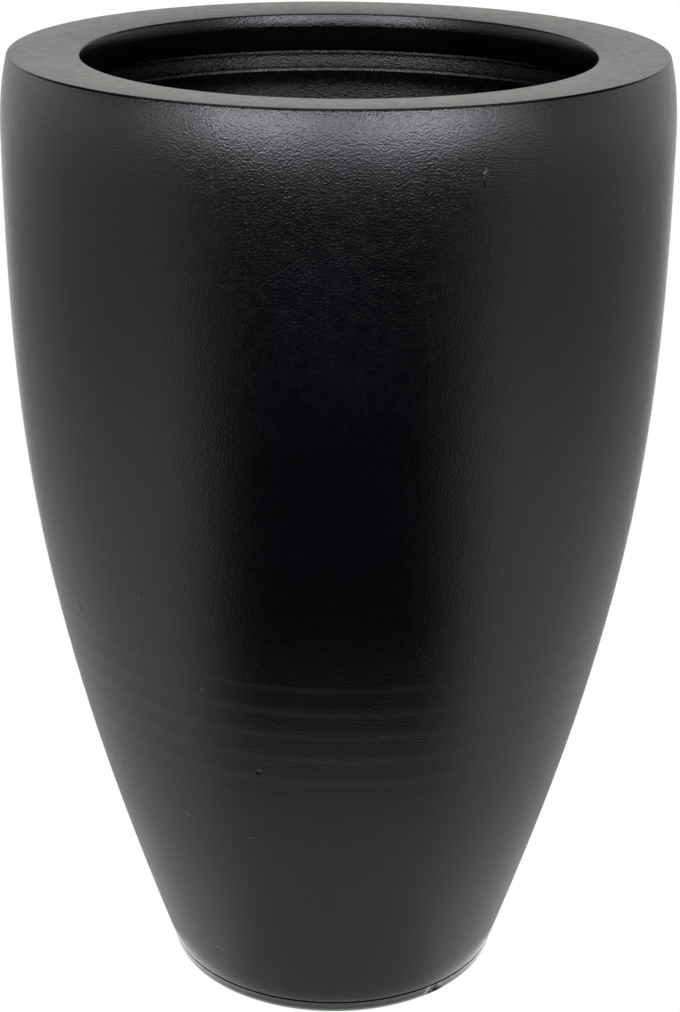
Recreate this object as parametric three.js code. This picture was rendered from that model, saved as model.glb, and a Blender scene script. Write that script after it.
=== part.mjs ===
// Tall round floor planter in moulded fiberglass, in millimetres, +Z up, standing on Z = 0 and centred on the Z axis.
//
// A bowed shell tapers down to a small round foot. A thick turned-in lip is bonded into its mouth over a foam former,
// a base pan is bonded into its foot, and a rubber plug closes the drain hole in the pan.

import * as THREE from 'three';

// Outside of the planter.
const HEIGHT = 610; // floor to the outer edge of the rim
const BELLY_RADIUS = 204.3; // widest circle
const BELLY_DROP = 73.6; // from the rim down to the widest circle
const SHOULDER_DRAW = 6; // how far the shoulder draws in from the belly to the top of the rim
const SHOULDER_POWER = 3.4; // how late it does: 2 is an even bow, and more keeps it upright for longer
const FOOT_RADIUS = 107.3; // where the wall line meets the floor
const FOOT_LEAN = 18.8; // degrees that the wall leans out as it leaves the foot
const FOOT_PULL = 263.7; // how far up the wall that lean is felt
const BELLY_PULL = 169.7; // how far down the wall the upright belly is felt

// Shell.
const WALL = 8; // laminate thickness

// Lip: a C-shaped section that caps the shell, turns down at the mouth and coves back to a skirt inside the shell.
const LIP_WIDTH = 43.6; // from the wall line at the rim to the clear opening
const LIP_CAP = 8; // thickness of the top plate at its outer edge
const LIP_FALL = 2.2; // how far the top plate falls towards the mouth
const LIP_PLATE = 5; // thickness of the turned-down and coved plates
const LIP_DROP = 25; // from the rim down to the lower edge of the mouth
const LIP_EDGE_ROUND = 1.6; // rounding of the outer top edge
const LIP_BEAD_ROUND = 3; // rounding of the edge at the mouth
const COVE_HEIGHT = 14; // from the lower edge of the mouth down to the skirt
const SKIRT_THICKNESS = 6;
const SKIRT_LENGTH = 31; // from the cove down to the end of the lap joint

// Base pan.
const BASE_BAND = 7; // height of the pan's edge that shows under the shell
const BASE_ROUND = 6; // rounding of that edge where it meets the floor
const BASE_RECESS = 5; // height of the hollow under the pan
const BASE_PLATE = 8; // thickness of the pan's floor
const FOOT_RING = 24; // width of the flat ring that stands on the floor, with the rounding
const COLLAR_HEIGHT = 34; // from the shell's lower edge up to the end of the lap joint
const COLLAR_THICKNESS = 6;

// Drain hole and plug.
const DRAIN_RADIUS = 15; // at the underside of the pan
const DRAIN_TAPER = 2; // how much wider the hole is at the top of the pan's floor
const PLUG_HEAD_RADIUS = 24;
const PLUG_HEAD = 4; // thickness of the head
const PLUG_GRIP_RADIUS = 8;
const PLUG_GRIP = 12; // height of the pull knob above the head
const PLUG_GRIP_ROUND = 3;

// Resin fillets over the ends of the two lap joints.
const FILLET = 12; // how far a fillet reaches along the wall

const BOND_GAP = 0.3; // glue line between bonded pieces
const PLUG_GAP = 0.3; // clearance round the seated plug

const SEGMENTS = 48; // round the axis
const WALL_STEPS = 12; // up the shell, from the foot to the belly
const SHOULDER_STEPS = 6; // up the shell, from the belly to the lip
const LAP_STEPS = 2; // up a lap joint
const ARC_STEPS = 3; // over a rounding
const COVE_STEPS = 5; // over the cove

const MOUTH_RADIUS = BELLY_RADIUS - SHOULDER_DRAW - LIP_WIDTH;
const BELLY_Z = HEIGHT - BELLY_DROP;
const CAP_Z = HEIGHT - LIP_CAP;
const COVE_Z = HEIGHT - LIP_DROP;
const SKIRT_Z = COVE_Z - COVE_HEIGHT;
const SKIRT_END_Z = SKIRT_Z - SKIRT_LENGTH;
const PAN_FLOOR_Z = BASE_RECESS + BASE_PLATE;
const COLLAR_END_Z = BASE_BAND + COLLAR_HEIGHT;

// Wall line from the foot up to the belly: it leaves the foot at its lean and reaches the belly upright.
const lean = THREE.MathUtils.degToRad(FOOT_LEAN);
const flare = new THREE.CubicBezierCurve(
  new THREE.Vector2(FOOT_RADIUS, 0),
  new THREE.Vector2(FOOT_RADIUS + FOOT_PULL * Math.sin(lean), FOOT_PULL * Math.cos(lean)),
  new THREE.Vector2(BELLY_RADIUS, BELLY_Z - BELLY_PULL),
  new THREE.Vector2(BELLY_RADIUS, BELLY_Z),
);

/** Radius of the flare at a height, found by halving the stretch of curve that holds it. */
function flareRadius(z) {
  let low = 0;
  let high = 1;
  for (let step = 0; step < 40; step += 1) {
    const middle = (low + high) / 2;
    if (flare.getPoint(middle).y < z) low = middle;
    else high = middle;
  }
  return flare.getPoint(low).x;
}

/** Radius of the shoulder at a height: upright at the belly, and drawn in ever faster towards the rim. */
function shoulderRadius(z) {
  const share = (z - BELLY_Z) / BELLY_DROP;
  return BELLY_RADIUS - SHOULDER_DRAW * share ** SHOULDER_POWER;
}

/** Radius of the outer wall line at a height. */
function wallLine(z) {
  return z > BELLY_Z ? shoulderRadius(z) : flareRadius(z);
}

/** Radius at a height of the surface that lies a given depth inside the outer wall, measured square to it. */
function wallRadius(z, depth = 0) {
  const slope = wallLine(z + 0.5) - wallLine(z - 0.5);
  return wallLine(z) - depth * Math.hypot(1, slope);
}

/** Points [radius, z] on the surface a given depth inside the wall, from one height to another. */
function wallRun(fromZ, toZ, depth, steps) {
  return Array.from({ length: steps + 1 }, (_, step) => {
    const z = fromZ + (toZ - fromZ) * (step / steps);
    return [wallRadius(z, depth), z];
  });
}

/** Points [radius, z] on an arc of an ellipse, between two angles in degrees. */
function arc(centreRadius, centreZ, radialSize, height, fromAngle, toAngle, steps) {
  return Array.from({ length: steps + 1 }, (_, step) => {
    const angle = THREE.MathUtils.degToRad(fromAngle + (toAngle - fromAngle) * (step / steps));
    return [centreRadius + radialSize * Math.cos(angle), centreZ + height * Math.sin(angle)];
  });
}

/** Turns a closed outline of [radius, z] points about the Z axis into a solid. */
function revolve(outline) {
  const points = outline.map(([radius, z]) => new THREE.Vector2(radius, z));
  if (THREE.ShapeUtils.isClockWise(points)) points.reverse();
  points.push(points[0].clone());
  return new THREE.LatheGeometry(points, SEGMENTS).rotateX(Math.PI / 2);
}

/** Laminated shell: open at both ends, cut level under the lip's cap and above the base band. */
function bodyShell() {
  const low = BASE_BAND + BOND_GAP;
  const high = CAP_Z - BOND_GAP;
  return revolve([
    ...wallRun(low, BELLY_Z, 0, WALL_STEPS),
    ...wallRun(BELLY_Z, high, 0, SHOULDER_STEPS).slice(1),
    ...wallRun(high, BELLY_Z, WALL, SHOULDER_STEPS),
    ...wallRun(BELLY_Z, low, WALL, WALL_STEPS).slice(1),
  ]);
}

/** Underside of the hollow in the lip: the back of the cove plate, from the skirt to the turned-down plate. */
function coveBack(clearance) {
  const skirtRadius = wallRadius(SKIRT_Z, WALL + BOND_GAP + SKIRT_THICKNESS);
  const reach = skirtRadius - MOUTH_RADIUS - LIP_PLATE;
  const lift = LIP_PLATE + clearance;
  const back = arc(MOUTH_RADIUS + LIP_PLATE, SKIRT_Z + lift, reach, COVE_HEIGHT, 0, 90, COVE_STEPS);
  return back.map(([radius, z]) => [Math.max(radius, MOUTH_RADIUS + LIP_PLATE + clearance), z]);
}

/** Lip moulding: cap, rounded outer edge, falling top, bead, turned-down face, cove and lapped skirt. */
function lipRing() {
  const lapDepth = WALL + BOND_GAP;
  const skirtDepth = lapDepth + SKIRT_THICKNESS;
  const edgeRadius = wallRadius(HEIGHT - LIP_EDGE_ROUND) - LIP_EDGE_ROUND;
  const beadZ = HEIGHT - LIP_FALL - LIP_BEAD_ROUND;
  const skirtRadius = wallRadius(SKIRT_Z, skirtDepth);
  const pocketZ = SKIRT_Z + LIP_PLATE;
  return revolve([
    [wallRadius(CAP_Z), CAP_Z],
    ...arc(edgeRadius, HEIGHT - LIP_EDGE_ROUND, LIP_EDGE_ROUND, LIP_EDGE_ROUND, 0, 90, ARC_STEPS),
    ...arc(MOUTH_RADIUS + LIP_BEAD_ROUND, beadZ, LIP_BEAD_ROUND, LIP_BEAD_ROUND, 90, 180, ARC_STEPS),
    ...arc(MOUTH_RADIUS, SKIRT_Z, skirtRadius - MOUTH_RADIUS, COVE_HEIGHT, 90, 0, COVE_STEPS),
    ...wallRun(SKIRT_Z, SKIRT_END_Z, skirtDepth, LAP_STEPS).slice(1),
    ...wallRun(SKIRT_END_Z, pocketZ, lapDepth, LAP_STEPS),
    ...coveBack(0),
    [MOUTH_RADIUS + LIP_PLATE, CAP_Z],
  ]);
}

/** Foam former that fills the hollow between the lip and the shell. */
function lipCore() {
  const outerDepth = WALL + BOND_GAP;
  const topZ = CAP_Z - BOND_GAP;
  const lowZ = SKIRT_Z + LIP_PLATE + BOND_GAP;
  return revolve([
    ...wallRun(lowZ, topZ, outerDepth, LAP_STEPS),
    [MOUTH_RADIUS + LIP_PLATE + BOND_GAP, topZ],
    ...coveBack(BOND_GAP).reverse(),
  ]);
}

/** Hollow-faced resin fillet over the end of a lap joint, reaching up or down the shell's inner face from it. */
function bondFillet(endZ, lapThickness, direction) {
  const depth = WALL + BOND_GAP;
  const startZ = endZ + direction * BOND_GAP;
  const face = Array.from({ length: ARC_STEPS + 1 }, (_, step) => {
    const share = step / ARC_STEPS;
    const z = startZ + direction * FILLET * share;
    return [wallRadius(z, depth + lapThickness * (1 - share) ** 2), z];
  });
  return revolve([...face, [wallRadius(startZ, depth), startZ]]);
}

/** Base pan: rounded band under the shell, flat foot ring, recessed floor with a drain hole, and lapped collar. */
function basePan() {
  const lapDepth = WALL + BOND_GAP;
  const collarDepth = lapDepth + COLLAR_THICKNESS;
  const roundRadius = wallRadius(BASE_ROUND) - BASE_ROUND;
  const ringInner = roundRadius + BASE_ROUND - FOOT_RING;
  return revolve([
    [DRAIN_RADIUS, BASE_RECESS],
    [ringInner, BASE_RECESS],
    [ringInner, 0],
    ...arc(roundRadius, BASE_ROUND, BASE_ROUND, BASE_ROUND, -90, 0, ARC_STEPS),
    [wallRadius(BASE_BAND), BASE_BAND],
    ...wallRun(BASE_BAND, COLLAR_END_Z, lapDepth, LAP_STEPS),
    ...wallRun(COLLAR_END_Z, PAN_FLOOR_Z, collarDepth, LAP_STEPS),
    [DRAIN_RADIUS + DRAIN_TAPER, PAN_FLOOR_Z],
  ]);
}

/** Rubber plug: tapered bung, flat head that lies on the pan's floor, and a round knob to pull it up by. */
function drainPlug() {
  const headZ = PAN_FLOOR_Z + PLUG_GAP;
  const gripZ = headZ + PLUG_HEAD;
  const topZ = gripZ + PLUG_GRIP;
  const roundRadius = PLUG_GRIP_RADIUS - PLUG_GRIP_ROUND;
  const outline = [
    [0, BASE_RECESS],
    [DRAIN_RADIUS - PLUG_GAP, BASE_RECESS],
    [DRAIN_RADIUS + DRAIN_TAPER - PLUG_GAP, headZ],
    [PLUG_HEAD_RADIUS, headZ],
    [PLUG_HEAD_RADIUS, gripZ],
    [PLUG_GRIP_RADIUS, gripZ],
    ...arc(roundRadius, topZ - PLUG_GRIP_ROUND, PLUG_GRIP_ROUND, PLUG_GRIP_ROUND, 0, 90, ARC_STEPS),
    [0, topZ],
  ];
  const points = outline.map(([radius, z]) => new THREE.Vector2(radius, z));
  return new THREE.LatheGeometry(points, SEGMENTS).rotateX(Math.PI / 2);
}

const fiberglass = { color: 0x17181a, roughness: 0.5, metalness: 0 };
const foam = { color: 0xb9ab84, roughness: 0.9, metalness: 0 };
const resin = { color: 0x1d1e20, roughness: 0.35, metalness: 0 };
const rubber = { color: 0x0f0f10, roughness: 0.8, metalness: 0 };

/** Named mesh with its own material. */
function piece(name, geometry, finish) {
  const mesh = new THREE.Mesh(geometry, new THREE.MeshStandardMaterial(finish));
  mesh.name = name;
  return mesh;
}

const group = new THREE.Group();
group.name = 'planter';
group.add(piece('body_shell', bodyShell(), fiberglass));
group.add(piece('lip_ring', lipRing(), fiberglass));
group.add(piece('lip_core', lipCore(), foam));
group.add(piece('lip_fillet', bondFillet(SKIRT_END_Z, SKIRT_THICKNESS, -1), resin));
group.add(piece('base_pan', basePan(), fiberglass));
group.add(piece('base_fillet', bondFillet(COLLAR_END_Z, COLLAR_THICKNESS, 1), resin));
group.add(piece('drain_plug', drainPlug(), rubber));

export default group;
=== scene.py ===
"""Looks of a tall round fiberglass planter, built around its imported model.

The planter is a bowed shell with a thick turned-in lip and a base pan, all under one satin black coat with a
sandy grain, and a rubber plug in its drain hole. Everything is in metres, +Z up, on the planter's axis.
"""

import logging
import math
from dataclasses import asdict, dataclass
from enum import Enum, IntEnum
from typing import ClassVar

import bmesh
import bpy
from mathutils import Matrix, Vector

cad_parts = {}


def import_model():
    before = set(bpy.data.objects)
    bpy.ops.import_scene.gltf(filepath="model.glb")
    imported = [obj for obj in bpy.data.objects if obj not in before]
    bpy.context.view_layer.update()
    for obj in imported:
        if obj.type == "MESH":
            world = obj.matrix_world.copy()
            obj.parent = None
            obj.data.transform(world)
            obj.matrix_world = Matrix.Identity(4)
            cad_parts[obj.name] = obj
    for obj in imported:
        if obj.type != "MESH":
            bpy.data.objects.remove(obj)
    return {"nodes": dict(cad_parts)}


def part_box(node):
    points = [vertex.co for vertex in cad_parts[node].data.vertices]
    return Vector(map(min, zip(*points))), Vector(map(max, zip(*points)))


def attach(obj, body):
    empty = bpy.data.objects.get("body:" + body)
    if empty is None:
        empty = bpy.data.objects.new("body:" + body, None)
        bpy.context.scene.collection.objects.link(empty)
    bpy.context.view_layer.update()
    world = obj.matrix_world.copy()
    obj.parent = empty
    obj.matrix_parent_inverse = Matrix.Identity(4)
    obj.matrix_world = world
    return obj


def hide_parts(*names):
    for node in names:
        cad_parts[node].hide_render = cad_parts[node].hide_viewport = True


log = logging.getLogger("planter")

MM = 0.001
Point = tuple[float, float]
Outline = list[Point]
Span = tuple[float, float]
Colour = tuple[float, float, float, float]
Thing = bpy.types.Object
Material = bpy.types.Material
Socket = bpy.types.NodeSocket


class Body(Enum):
    """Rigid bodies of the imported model."""

    PLANTER = "planter"
    PLUG = "plug"


class Slot(Enum):
    """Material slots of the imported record."""

    SHELL = "fiberglass_shell"
    LIP = "fiberglass_lip"
    BASE = "fiberglass_base"
    FOAM = "foam"
    RESIN = "resin"
    RUBBER = "rubber"


class LipFace(IntEnum):
    """Faces of the lip, in the order of their finishes."""

    OUTSIDE = 0
    TOP = 1
    MOUTH = 2
    COVE = 3
    BACK = 4


# ---- Node trees ----


class NodeSketch:
    """Short hand for filling a shader, world or geometry node tree."""

    noise_middle: ClassVar[Span] = (0.3, 0.7)

    def __init__(self, tree: bpy.types.NodeTree) -> None:
        """Starts on an empty tree.

        Args:
            tree: the tree to fill; nodes it already holds are removed.
        """
        self.tree = tree
        tree.nodes.clear()

    def feed(self, socket: Socket, value: object) -> None:
        """Links a socket to an input, or sets the input's own value.

        Args:
            socket: the input.
            value: an output socket, a number, a colour or a vector.
        """
        if isinstance(value, bpy.types.NodeSocket):
            self.tree.links.new(value, socket)
        else:
            socket.default_value = value

    def node(
        self, kind: str, *values: object, named: dict[str, object] | None = None, **settings: object
    ) -> bpy.types.Node:
        """Adds a node.

        Args:
            kind: the node's type name.
            values: inputs in order; None leaves one alone.
            named: inputs by name.
            settings: the node's own properties.

        Returns:
            The node.
        """
        made = self.tree.nodes.new(kind)
        for key, value in settings.items():
            setattr(made, key, value)
        for socket, value in zip(made.inputs, values):
            if value is not None:
                self.feed(socket, value)
        for key, value in (named or {}).items():
            self.feed(made.inputs[key], value)
        return made

    def math(self, operation: str, *values: object) -> Socket:
        """Returns the result of a Math node on up to three values."""
        return self.node("ShaderNodeMath", *values, operation=operation).outputs[0]

    def vector(self, operation: str, *values: object, named: dict[str, object] | None = None) -> Socket:
        """Returns the vector result of a Vector Math node."""
        return self.node("ShaderNodeVectorMath", *values, named=named, operation=operation).outputs["Vector"]

    def measure(self, operation: str, *values: object) -> Socket:
        """Returns the number result of a Vector Math node, such as a length or a dot product."""
        return self.node("ShaderNodeVectorMath", *values, operation=operation).outputs["Value"]

    def ramp(self, value: object, low: object, high: object, to_low: object, to_high: object) -> Socket:
        """Maps a value from one range to another with an eased step, held at both ends.

        Args:
            value: what is mapped.
            low: start of its range.
            high: end of its range.
            to_low: result at the start.
            to_high: result at the end.

        Returns:
            The mapped value.
        """
        ends = (low, high, to_low, to_high)
        return self.node("ShaderNodeMapRange", value, *ends, interpolation_type="SMOOTHSTEP").outputs[0]

    def noise(self, where: object, scale: object, detail: float = 2.0, roughness: float = 0.5) -> Socket:
        """Reads a noise.

        Args:
            where: the point it is read at.
            scale: cells to the metre.
            detail: octaves.
            roughness: strength of each finer octave.

        Returns:
            The noise, from 0 to 1.
        """
        named = {"Vector": where, "Scale": scale, "Detail": detail, "Roughness": roughness}
        return self.node("ShaderNodeTexNoise", named=named).outputs[0]

    def layer(
        self, where: object, scale: object, height: object, detail: float = 2.0, roughness: float = 0.5
    ) -> Socket:
        """Returns one layer of relief: a noise times its height in metres."""
        return self.math("MULTIPLY", self.noise(where, scale, detail, roughness), height)

    def blotches(
        self, where: object, scale: object, ends: tuple, detail: float = 3.0, roughness: float = 0.5
    ) -> Socket:
        """Returns soft blotches from a weak to a strong value, cut from the middle of a noise's range."""
        return self.ramp(self.noise(where, scale, detail, roughness), *self.noise_middle, *ends)


# ---- Shape of the planter ----


@dataclass(frozen=True)
class WallLine:
    """Outer wall line: one curve from the foot up to the belly, then a shoulder drawn in towards the rim."""

    height: float
    belly_radius: float
    belly_drop: float = 73.6 * MM
    shoulder_draw: float = 6 * MM
    shoulder_power: float = 3.4
    foot_radius: float = 107.3 * MM
    foot_lean: float = 18.8
    foot_pull: float = 263.7 * MM
    belly_pull: float = 169.7 * MM
    halvings: int = 40
    slope_reach: float = 0.5 * MM

    @property
    def belly_z(self) -> float:
        """Height of the widest circle."""
        return self.height - self.belly_drop

    def flare_point(self, share: float) -> Point:
        """Works out a point on the curve from the foot to the belly.

        Args:
            share: how far along the curve it lies, from 0 to 1.

        Returns:
            Its radius and height.
        """
        lean = math.radians(self.foot_lean)
        handles = (
            (self.foot_radius, 0.0),
            (self.foot_radius + self.foot_pull * math.sin(lean), self.foot_pull * math.cos(lean)),
            (self.belly_radius, self.belly_z - self.belly_pull),
            (self.belly_radius, self.belly_z),
        )
        rest = 1 - share
        weights = (rest**3, 3 * share * rest**2, 3 * share**2 * rest, share**3)
        radius = sum(weight * handle[0] for weight, handle in zip(weights, handles))
        return radius, sum(weight * handle[1] for weight, handle in zip(weights, handles))

    def line(self, z: float) -> float:
        """Finds the outer wall at a height; on the curve, the share is closed in on by halving.

        Args:
            z: the height.

        Returns:
            The radius there.
        """
        if z > self.belly_z:
            share = (z - self.belly_z) / self.belly_drop
            return self.belly_radius - self.shoulder_draw * share**self.shoulder_power
        low, high = 0.0, 1.0
        for _ in range(self.halvings):
            middle = (low + high) / 2
            if self.flare_point(middle)[1] < z:
                low = middle
            else:
                high = middle
        return self.flare_point(low)[0]

    def radius(self, z: float, depth: float = 0.0) -> float:
        """Finds a surface that lies inside the outer wall.

        Args:
            z: the height.
            depth: how far inside the wall it lies, square to it.

        Returns:
            The radius of the surface there.
        """
        reach = self.slope_reach
        slope = (self.line(z + reach) - self.line(z - reach)) / (2 * reach)
        return self.line(z) - depth * math.hypot(1, slope)

    def run(self, from_z: float, to_z: float, depth: float, step: float) -> Outline:
        """Points up or down the wall.

        Args:
            from_z: first height.
            to_z: last height.
            depth: how far inside the outer wall.
            step: longest height between two points.

        Returns:
            The points, with both ends.
        """
        count = max(1, math.ceil(abs(to_z - from_z) / step))
        levels = [from_z + (to_z - from_z) * index / count for index in range(count + 1)]
        return [(self.radius(z, depth), z) for z in levels]


def arc(
    centre: Point, size: float, start: float, end: float, steps: int, tall: float | None = None
) -> Outline:
    """Points on an arc of a circle or an upright ellipse.

    Args:
        centre: radius and height of its centre.
        size: its half width.
        start: first angle in degrees, from outwards towards up.
        end: last angle in degrees.
        steps: stretches between points.
        tall: its half height, where that is another.

    Returns:
        The points, with both ends.
    """
    tall = size if tall is None else tall
    angles = [math.radians(start + (end - start) * index / steps) for index in range(steps + 1)]
    return [(centre[0] + size * math.cos(a), centre[1] + tall * math.sin(a)) for a in angles]


def add_object(name: str, data: bpy.types.ID) -> Thing:
    """Puts a mesh, a lamp or a camera in the scene.

    Args:
        name: name of the new object.
        data: what it holds.

    Returns:
        The object.
    """
    made = bpy.data.objects.new(name, data)
    bpy.context.scene.collection.objects.link(made)
    return made


def revolve(name: str, outline: Outline, segments: int, sharp: float = 32.0) -> Thing:
    """Turns a closed outline about the Z axis.

    Args:
        name: name of the new object.
        outline: points of radius and height; points on the axis become poles.
        segments: faces round the axis.
        sharp: edges that bend by more than this many degrees are shaded sharp.

    Returns:
        A smooth-shaded object with its faces pointing out.
    """
    turned = bmesh.new()
    rings: list[list[bmesh.types.BMVert]] = []
    for radius, z in outline:
        if radius < 1e-6:
            rings.append([turned.verts.new((0.0, 0.0, z))])
            continue
        angles = [2 * math.pi * index / segments for index in range(segments)]
        rings.append([turned.verts.new((radius * math.cos(a), radius * math.sin(a), z)) for a in angles])
    for ring, following in zip(rings, rings[1:] + rings[:1]):
        if len(ring) == len(following) == 1:
            continue
        for index in range(segments):
            beside = (index + 1) % segments
            corners = (
                ring[index % len(ring)],
                ring[beside % len(ring)],
                following[beside % len(following)],
                following[index % len(following)],
            )
            turned.faces.new(list(dict.fromkeys(corners)))
    bmesh.ops.recalc_face_normals(turned, faces=turned.faces)
    mesh = bpy.data.meshes.new(name)
    turned.to_mesh(mesh)
    turned.free()
    mesh.shade_smooth()
    mesh.set_sharp_from_angle(angle=math.radians(sharp))
    return add_object(name, mesh)


# ---- Finishes ----


def new_material(name: str) -> tuple[Material, NodeSketch, Socket]:
    """Starts a material.

    Args:
        name: its name.

    Returns:
        The material, a sketch of its empty tree, and the place on the piece, where every pattern is read.
    """
    material = bpy.data.materials.new(name)
    material.use_nodes = True
    sketch = NodeSketch(material.node_tree)
    return material, sketch, sketch.node("ShaderNodeTexCoord").outputs["Object"]


def close_surface(sketch: NodeSketch, colour: Socket, roughness: Socket | float, height: Socket) -> None:
    """Ends a finish's tree in its surface.

    Args:
        sketch: the tree.
        colour: base colour.
        roughness: one number, or a pattern.
        height: relief in metres.
    """
    bump = sketch.node("ShaderNodeBump", named={"Strength": 1.0, "Distance": 1.0, "Height": height})
    named = {"Base Color": colour, "Roughness": roughness, "Normal": bump.outputs[0]}
    surface = sketch.node("ShaderNodeBsdfPrincipled", named=named)
    sketch.node("ShaderNodeOutputMaterial", surface.outputs[0])


@dataclass(frozen=True)
class Mark:
    """One casting mark in the coat: a pit where its height is negative, else a pimple or smear."""

    azimuth: float
    z: float
    width: float
    tall: float
    height: float
    core_share: float = 0.35

    def relief(self, sketch: NodeSketch, place: Socket, wall: WallLine) -> Socket:
        """Raises or sinks the mark. Azimuth 0 is the front, and it grows to the right.

        Args:
            sketch: the coat's tree.
            place: the place on the piece.
            wall: the wall it lies on.

        Returns:
            The height in metres that it adds.
        """
        turn = math.radians(self.azimuth)
        radius = wall.radius(self.z)
        centre = (radius * math.sin(turn), -radius * math.cos(turn), self.z)
        apart = sketch.vector("SUBTRACT", place, centre)
        shaped = sketch.vector("MULTIPLY", apart, (2 / self.width, 2 / self.width, 2 / self.tall))
        return sketch.ramp(sketch.measure("LENGTH", shaped), self.core_share, 1.0, self.height, 0.0)


@dataclass(frozen=True)
class SatinCoat:
    """Satin black spray coat with a sandy grain, faint turned lines and soft waves."""

    name: str
    colour: Colour = (0.0008, 0.0009, 0.0016, 1.0)
    worn_colour: Colour = (0.0017, 0.0018, 0.0028, 1.0)
    wear_scale: float = 9.0
    wear_span: Span = (0.35, 0.75)
    smooth_roughness: float = 0.17
    dull_roughness: float = 0.23
    dull_scale: float = 160.0
    grain_scale: float = 1000.0
    grain_stretch: float = 0.95
    grain_height: float = 0.19 * MM
    pimple_scale: float = 520.0
    pimple_span: Span = (0.1, 0.55)
    pimple_height: float = 0.03 * MM
    line_scale: tuple[float, float, float] = (7.0, 7.0, 780.0)
    line_height: float = 0.03 * MM
    wave_scale: float = 26.0
    wave_height: float = 0.16 * MM
    ring_scale: float = 620.0
    ring_wander: float = 9.0
    ring_height: float = 0.0
    marks: tuple[Mark, ...] = ()

    def build(self, wall: WallLine | None = None) -> Material:
        """Makes the material.

        Args:
            wall: the wall that the marks lie on, where there are any.

        Returns:
            The material.
        """
        material, sketch, place = new_material(self.name)
        height = self.relief(sketch, place)
        for mark in self.marks:
            height = sketch.math("ADD", height, mark.relief(sketch, place, wall))
        patches = sketch.noise(place, self.wear_scale, 4.0, 0.55)
        colours = sketch.node("ShaderNodeMix", data_type="RGBA")
        sketch.feed(colours.inputs["Factor"], sketch.ramp(patches, *self.wear_span, 0.0, 1.0))
        sketch.feed(colours.inputs[6], self.colour)
        sketch.feed(colours.inputs[7], self.worn_colour)
        ends = (self.smooth_roughness, self.dull_roughness)
        shine = sketch.blotches(place, self.dull_scale, ends, 3.0, 0.6)
        close_surface(sketch, colours.outputs[2], shine, height)
        return material

    def relief(self, sketch: NodeSketch, place: Socket) -> Socket:
        """Adds up the coat's grain, pimples, turned lines, waves and, on a flat rim, sanding rings.

        Args:
            sketch: the coat's tree.
            place: the place on the piece.

        Returns:
            The coat's height in metres.
        """
        squeezed = sketch.vector("MULTIPLY", place, (1.0, 1.0, self.grain_stretch))
        named = {"Vector": squeezed, "Scale": self.pimple_scale, "Randomness": 1.0}
        cells = sketch.node("ShaderNodeTexVoronoi", named=named, feature="F1").outputs["Distance"]
        stretched = sketch.node("ShaderNodeMapping", place, named={"Scale": self.line_scale}).outputs[0]
        grain = sketch.layer(squeezed, self.grain_scale, self.grain_height)
        pimples = sketch.ramp(cells, *self.pimple_span, self.pimple_height, 0.0)
        lines = sketch.layer(stretched, 1.0, self.line_height, 2.0, 0.6)
        waves = sketch.layer(place, self.wave_scale, self.wave_height)
        fine = sketch.math("ADD", grain, pimples)
        height = sketch.math("ADD", fine, sketch.math("ADD", lines, waves))
        if not self.ring_height:
            return height
        x, y, _ = sketch.node("ShaderNodeSeparateXYZ", place).outputs
        flat = sketch.node("ShaderNodeCombineXYZ", x, y, 0.0).outputs[0]
        away = sketch.math("MULTIPLY", sketch.measure("LENGTH", flat), self.ring_scale)
        wander = [sketch.math("MULTIPLY", side, self.ring_wander) for side in (x, y)]
        turned = sketch.node("ShaderNodeCombineXYZ", *wander, away).outputs[0]
        return sketch.math("ADD", height, sketch.layer(turned, 1.0, self.ring_height))


@dataclass(frozen=True)
class BareLaminate:
    """Inner face of the laminate: the same black coat, thinly over chopped strands."""

    name: str = "coated_laminate"
    colour: Colour = (0.0024, 0.0024, 0.0026, 1.0)
    tone_scale: float = 14.0
    tones: Span = (0.8, 1.4)
    roughness: float = 0.3
    strand_turns: tuple[float, ...] = (0.4, 1.5, 2.6)
    strand_thin: float = 9.0
    strand_scale: float = 90.0
    strand_height: float = 0.3 * MM
    grain_scale: float = 420.0
    grain_height: float = 0.3 * MM

    def build(self) -> Material:
        """Makes the material.

        Returns:
            The material.
        """
        material, sketch, place = new_material(self.name)
        height = sketch.layer(place, self.grain_scale, self.grain_height, 3.0, 0.65)
        share = self.strand_height / len(self.strand_turns)
        for turn in self.strand_turns:
            lie = {"Rotation": (turn, 0.5 * turn, turn), "Scale": (1.0, self.strand_thin, self.strand_thin)}
            strands = sketch.node("ShaderNodeMapping", place, named=lie).outputs[0]
            height = sketch.math("ADD", height, sketch.layer(strands, self.strand_scale, share, 1.0))
        tone = sketch.blotches(place, self.tone_scale, self.tones)
        tint = sketch.vector("SCALE", self.colour[:3], named={"Scale": tone})
        close_surface(sketch, tint, self.roughness, height)
        return material


@dataclass(frozen=True)
class PlainFinish:
    """A finish of one colour with blotches and a fine grain: foam, cured resin or rubber."""

    name: str
    colour: Colour
    roughness: float
    blotch_scale: float
    blotch: float
    grain_scale: float
    grain_height: float

    def build(self) -> Material:
        """Makes the material.

        Returns:
            The material.
        """
        material, sketch, place = new_material(self.name)
        tone = sketch.blotches(place, self.blotch_scale, (1 - self.blotch, 1 + self.blotch))
        tint = sketch.vector("SCALE", self.colour[:3], named={"Scale": tone})
        grain = sketch.layer(place, self.grain_scale, self.grain_height, 3.0, 0.6)
        close_surface(sketch, tint, self.roughness, grain)
        return material


# ---- Geometry Nodes ----


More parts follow.
